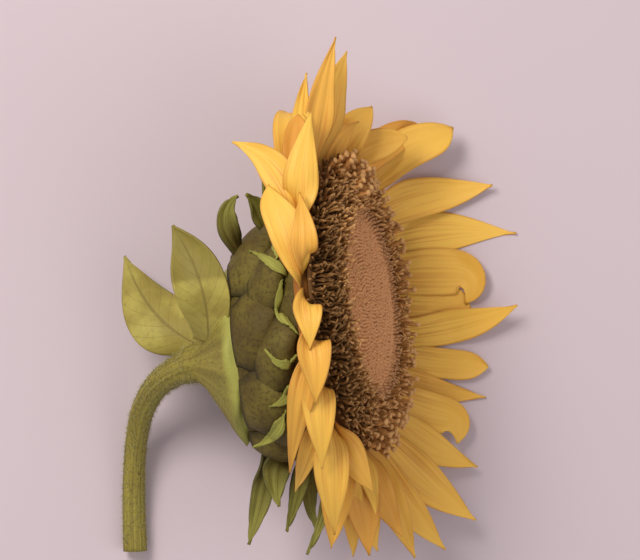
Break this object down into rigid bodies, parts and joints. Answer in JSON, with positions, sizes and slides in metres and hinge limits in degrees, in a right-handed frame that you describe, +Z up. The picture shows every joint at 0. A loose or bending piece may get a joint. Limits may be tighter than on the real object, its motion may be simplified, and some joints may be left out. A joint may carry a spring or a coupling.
{
  "type": "sunflower",
  "caption": "Cut sunflower lying on its side: broad seed disc ringed by yellow petals over a cup of green bracts, with two small leaves on a short bent stem.",
  "frame": {"origin": "on the table under the middle of the flower's box", "axes": "+Z up from the table; +Y along the flower's longest way, from the cut end of the stem towards the upper petals; +X the way the disc faces"},
  "size_m": [0.1818, 0.2345, 0.1405],
  "materials": {
    "floret_brown": "matt fibrous plant tissue, brown",
    "bud_tan": "matt plant tissue, tan",
    "petal_yellow": "soft satin petal, thin and a little translucent",
    "bract_green": "matt hairy leaf tissue, dark olive",
    "stem_green": "matt hairy stem, olive green",
    "leaf_green": "matt leaf, light olive green"
  },
  "bodies": {
    "root": {"disc_florets": "floret_brown", "disc_buds": "bud_tan", "ray_petals": "petal_yellow", "green_bracts": "bract_green", "stem": "stem_green", "neck_leaf_left": "leaf_green", "neck_leaf_upper": "leaf_green"}
  },
  "joints": []
}
